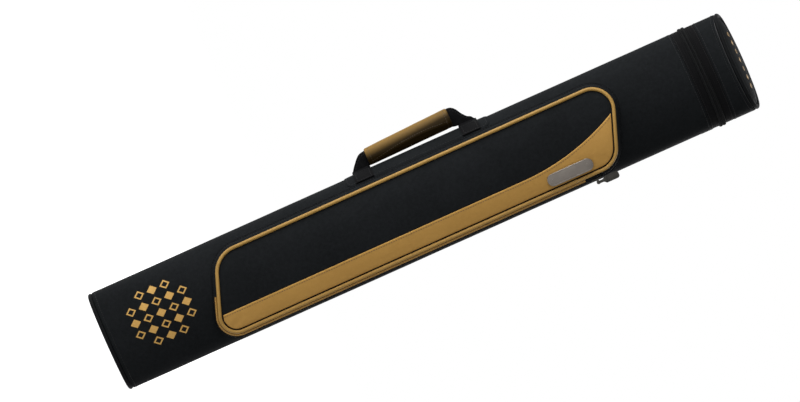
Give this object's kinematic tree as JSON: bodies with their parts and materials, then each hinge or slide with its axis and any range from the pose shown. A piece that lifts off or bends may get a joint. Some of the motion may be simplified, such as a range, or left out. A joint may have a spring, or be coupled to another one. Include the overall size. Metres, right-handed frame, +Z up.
{
  "type": "cue case",
  "caption": "Oval hard cue case with padded tubes inside, a zipped hinged lid with a slanted end, a piped zip pocket with a tan leather panel and a soft side handle.",
  "frame": {"origin": "middle of the base's flat underside, on the axis of the case", "axes": "+Z up the case toward the lid, -Y out of the pocket at the front, -X toward the handle"},
  "size_m": [0.1632, 0.0991, 0.8588],
  "materials": {
    "black_leatherette": "fine grain, soft sheen",
    "tan_leather": "smooth, satin",
    "tan_piping": "smooth, satin",
    "zip_tape": "woven",
    "zip_coil": "matte",
    "gunmetal": "satin",
    "shell_plastic": "matte",
    "tube_plastic": "matte",
    "foam": "matte foam",
    "board": "matte",
    "webbing": "woven"
  },
  "bodies": {
    "case": {"shell": "shell_plastic", "cover": "black_leatherette", "base_panel": "black_leatherette", "base_board": "board", "base_piping": "black_leatherette", "base_pad": "foam", "butt_tube_front": "tube_plastic", "butt_tube_back": "tube_plastic", "shaft_tube_zip_front": "tube_plastic", "shaft_tube_zip_back": "tube_plastic", "shaft_tube_handle_front": "tube_plastic", "shaft_tube_handle_back": "tube_plastic", "low_spacer": "foam", "middle_spacer": "foam", "mouth_plate": "foam", "case_zip_tape": "zip_tape", "case_zip_coil": "zip_coil", "case_hinge_leaf": "black_leatherette", "pocket_gusset": "black_leatherette", "pocket_shoulder": "black_leatherette", "pocket_zip_tape": "zip_tape", "pocket_zip_coil": "zip_coil", "handle_patch": "black_leatherette", "strap_feet": "webbing"},
    "lid": {"lid_shell": "shell_plastic", "lid_cover": "black_leatherette", "lid_board": "board", "lid_pad": "foam", "lid_panel": "black_leatherette", "lid_piping": "black_leatherette", "lid_zip_tape": "zip_tape", "lid_zip_coil": "zip_coil", "lid_hinge_leaf": "black_leatherette"},
    "lid_zip_slider": {"lid_slider": "gunmetal"},
    "lid_zip_puller": {"lid_puller": "gunmetal"},
    "pocket_flap": {"pocket_panel": "black_leatherette", "pocket_overlay": "tan_leather", "pocket_piping": "tan_piping", "pocket_plate": "gunmetal", "flap_zip_band": "tan_leather", "flap_zip_stop": "black_leatherette", "flap_zip_tape": "zip_tape", "flap_zip_coil": "zip_coil"},
    "pocket_zip_slider": {"pocket_slider": "gunmetal"},
    "pocket_zip_puller": {"pocket_puller": "gunmetal"},
    "handle": {"handle_webbing": "webbing", "handle_grip": "tan_leather"}
  },
  "joints": [
    {"name": "lid_hinge", "type": "hinge", "parent": "case", "child": "lid", "pos_m": [0, 0.0419, 0.7995], "axis": [-1, 0, 0], "range_deg": [0, 120]},
    {"name": "lid_zip_travel", "type": "hinge", "parent": "case", "child": "lid_zip_slider", "pos_m": [0.02999, 0, 0.7995], "axis": [0, 0, -1], "range_deg": [0, 95]},
    {"name": "lid_puller_swing", "type": "hinge", "parent": "lid_zip_slider", "child": "lid_zip_puller", "pos_m": [0.06124, 0.02623, 0.7974], "axis": [0.6428, -0.766, 0], "range_deg": [0, 100]},
    {"name": "pocket_flap_hinge", "type": "hinge", "parent": "case", "child": "pocket_flap", "pos_m": [-0.04349, -0.047, 0.4305], "axis": [0, 0, -1], "range_deg": [0, 25]},
    {"name": "pocket_zip_travel", "type": "slide", "parent": "case", "child": "pocket_zip_slider", "axis": [0, 0, 1], "range_m": [-0.46, 0]},
    {"name": "pocket_puller_swing", "type": "hinge", "parent": "pocket_zip_slider", "child": "pocket_zip_puller", "pos_m": [0.06619, -0.0391, 0.62906], "axis": [0, 1, 0], "range_deg": [0, 180]},
    {"name": "handle_swing", "type": "hinge", "parent": "case", "child": "handle", "pos_m": [-0.06719, 0, 0.4395], "axis": [0, 0, 1], "range_deg": [-40, 40]}
  ]
}
